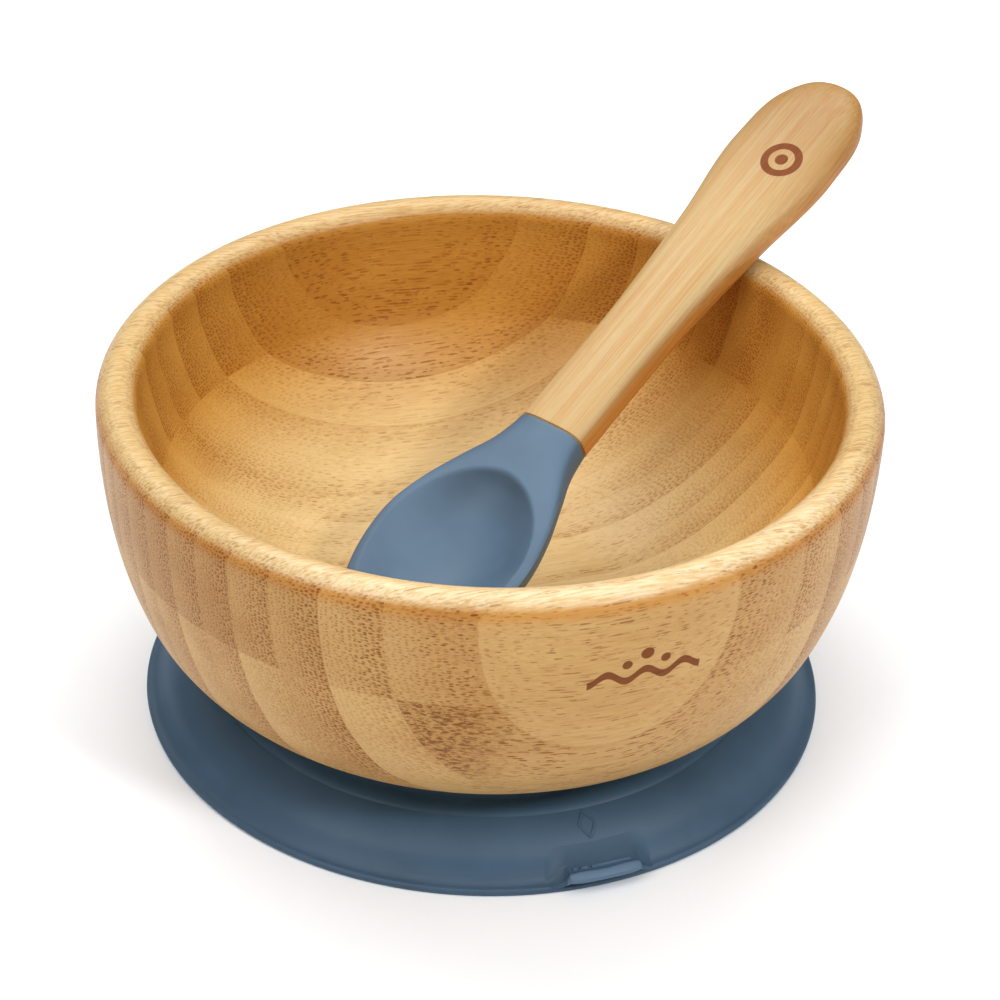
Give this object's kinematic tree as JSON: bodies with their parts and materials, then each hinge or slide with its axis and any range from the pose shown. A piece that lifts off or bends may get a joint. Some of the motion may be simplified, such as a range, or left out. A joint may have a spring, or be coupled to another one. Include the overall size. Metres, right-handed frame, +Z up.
{
  "type": "suction bowl",
  "caption": "Turned bamboo feeding bowl plugged into a soft suction base with a release tab, with a spoon resting in it.",
  "frame": {"origin": "on the table, at the centre of the ring that the suction base seals with", "axes": "+Z up along the bowl's axis, -Y towards the front of the bowl, +X to its right; the release tab is at the front, 20.7 degrees to the right"},
  "size_m": [0.1276, 0.1342, 0.0835],
  "materials": {
    "bowl_bamboo": "oiled satin",
    "handle_bamboo": "oiled satin",
    "base_silicone": "matte",
    "spoon_silicone": "matte"
  },
  "bodies": {
    "skirt": {"suction_skirt": "base_silicone"},
    "tab": {"release_tab": "base_silicone"},
    "collar": {"base_collar": "base_silicone"},
    "bowl": {"rim_board_odd_strips": "bowl_bamboo", "rim_board_even_strips": "bowl_bamboo", "wall_board_odd_strips": "bowl_bamboo", "wall_board_even_strips": "bowl_bamboo", "foot_board_odd_strips": "bowl_bamboo", "foot_board_even_strips": "bowl_bamboo"},
    "spoon": {"spoon_handle": "handle_bamboo", "spoon_head": "spoon_silicone"}
  },
  "joints": [
    {"name": "press_down", "type": "slide", "parent": "skirt", "child": "collar", "axis": [0, 0, -1], "range_m": [0, 0.0022], "stiffness_N_per_m": 5000, "springref_m": -0.001, "deforming": ["suction_skirt"]},
    {"name": "tab_lift", "type": "hinge", "parent": "skirt", "child": "tab", "pos_m": [0.01919, -0.05079, 0.0041], "axis": [-0.9354, -0.3535, 0], "range_deg": [0, 45], "stiffness_Nm_per_rad": 0.01},
    {"name": "bowl_lift", "type": "slide", "parent": "collar", "child": "bowl", "axis": [0, 0, 1], "range_m": [0, 0.06]},
    {"name": "spoon_lift", "type": "slide", "parent": "bowl", "child": "spoon", "axis": [0, 0, 1], "range_m": [0, 0.08]}
  ]
}
